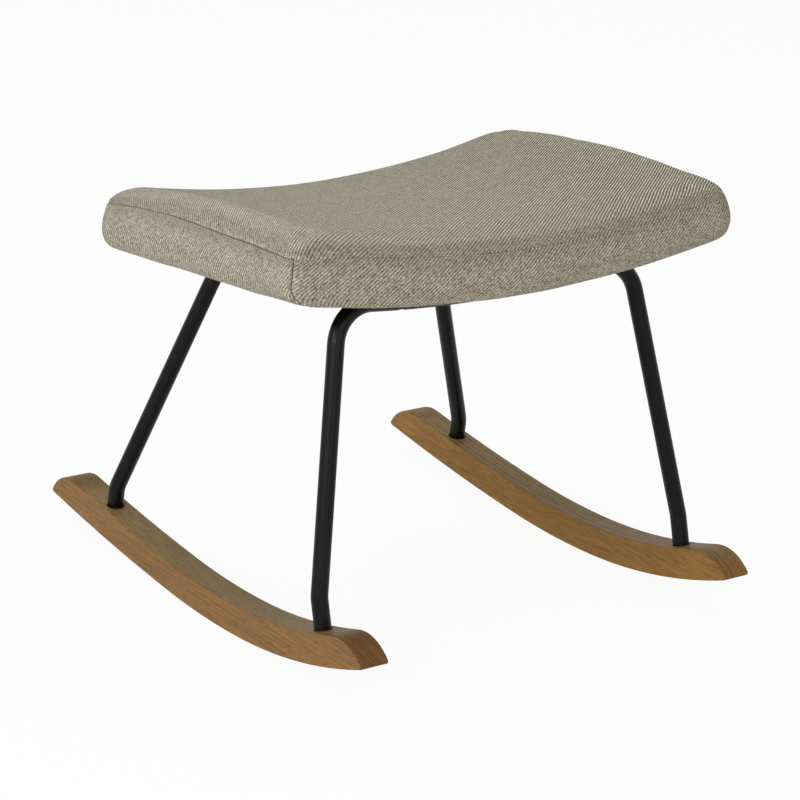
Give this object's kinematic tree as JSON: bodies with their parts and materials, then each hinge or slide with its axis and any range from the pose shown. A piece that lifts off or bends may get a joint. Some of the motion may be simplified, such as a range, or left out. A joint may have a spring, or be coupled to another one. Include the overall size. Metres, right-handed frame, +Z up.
{
  "type": "rocking footstool",
  "caption": "Low rocking footstool: a saddle-shaped padded seat on two bent tube leg frames, their feet set into a pair of curved wooden rockers.",
  "frame": {"origin": "on the floor, midway between the rockers and midway between their front and rear tips", "axes": "+X from the left rocker to the right one, +Y along the rockers towards the back, where the seat is lower, +Z up"},
  "size_m": [0.5508, 0.6277, 0.4662],
  "materials": {
    "upholstery": "woven twill tweed, matt",
    "padding": "soft polyester wadding",
    "foam": "open-cell upholstery foam",
    "board": "bent beech plywood, unfinished",
    "dust_cover": "black spun-bonded fabric",
    "frame_paint": "satin black powder coat on steel tube",
    "rocker_wood": "solid oak, oiled",
    "fasteners": "zinc-plated steel"
  },
  "bodies": {
    "root": {"left_rocker": "rocker_wood", "right_rocker": "rocker_wood", "front_leg_frame": "frame_paint", "rear_leg_frame": "frame_paint", "leg_inserts": "fasteners", "rocker_bolts": "fasteners", "rocker_washers": "fasteners", "board_inserts": "fasteners", "frame_bolts": "fasteners", "saddle_washers": "fasteners", "staples": "fasteners", "seat_board": "board", "seat_foam": "foam", "foam_wadding": "padding", "top_panel": "upholstery", "front_band": "upholstery", "rear_band": "upholstery", "left_band": "upholstery", "right_band": "upholstery", "dust_cover": "dust_cover"}
  },
  "joints": []
}
